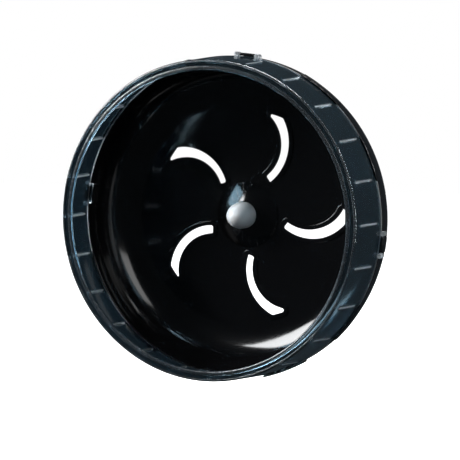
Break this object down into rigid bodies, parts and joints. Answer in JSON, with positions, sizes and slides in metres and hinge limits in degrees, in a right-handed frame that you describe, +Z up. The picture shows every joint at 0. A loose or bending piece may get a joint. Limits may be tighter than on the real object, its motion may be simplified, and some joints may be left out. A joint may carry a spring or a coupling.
{
  "type": "small-pet exercise wheel",
  "caption": "Open running wheel for a small pet: smoke-clear track ring clipped to a black pan with curved slots, turning on ball bearings round a rear axle stub.",
  "frame": {"origin": "on the axle, in the plane of the mounting shoulder at the rear of the wheel", "axes": "+Z up, +Y along the axle away from the wheel's open side, +X to the right seen from the open side"},
  "size_m": [0.212, 0.1132, 0.212],
  "materials": {
    "black_gloss": "gloss",
    "smoke_clear": "clear gloss",
    "grey_satin": "satin",
    "black_satin": "satin",
    "axle_steel": "turned",
    "screw_steel": "zinc plated",
    "bearing_steel": "ground",
    "ball_steel": "polished",
    "cage_nylon": "moulded"
  },
  "bodies": {
    "axle_set": {"axle": "axle_steel", "bearing_spacer": "axle_steel", "end_washer": "screw_steel", "end_screw": "screw_steel", "front_inner_race": "bearing_steel", "rear_inner_race": "bearing_steel"},
    "wheel": {"wheel_pan": "black_gloss", "track_ring": "smoke_clear", "hub_cone": "black_gloss", "hub_cap": "grey_satin", "bearing_cover": "black_satin", "cover_screws": "screw_steel", "front_outer_race": "bearing_steel", "rear_outer_race": "bearing_steel", "front_bearing_front_shield": "bearing_steel", "front_bearing_rear_shield": "bearing_steel", "rear_bearing_front_shield": "bearing_steel", "rear_bearing_rear_shield": "bearing_steel"},
    "front_ball_train": {"front_balls": "ball_steel", "front_ball_cage": "cage_nylon"},
    "rear_ball_train": {"rear_balls": "ball_steel", "rear_ball_cage": "cage_nylon"}
  },
  "joints": [
    {"name": "wheel_spin", "type": "hinge", "parent": "axle_set", "child": "wheel", "pos_m": [0, -0.017, 0], "axis": [0, 1, 0], "continuous": true},
    {"name": "front_ball_orbit", "type": "hinge", "parent": "axle_set", "child": "front_ball_train", "pos_m": [0, -0.0235, 0], "axis": [0, 1, 0], "continuous": true},
    {"name": "rear_ball_orbit", "type": "hinge", "parent": "axle_set", "child": "rear_ball_train", "pos_m": [0, -0.0105, 0], "axis": [0, 1, 0], "continuous": true}
  ],
  "couplings": [
    {"joint": "front_ball_orbit", "follows": "wheel_spin", "ratio": 0.6323},
    {"joint": "rear_ball_orbit", "follows": "wheel_spin", "ratio": 0.6323}
  ]
}
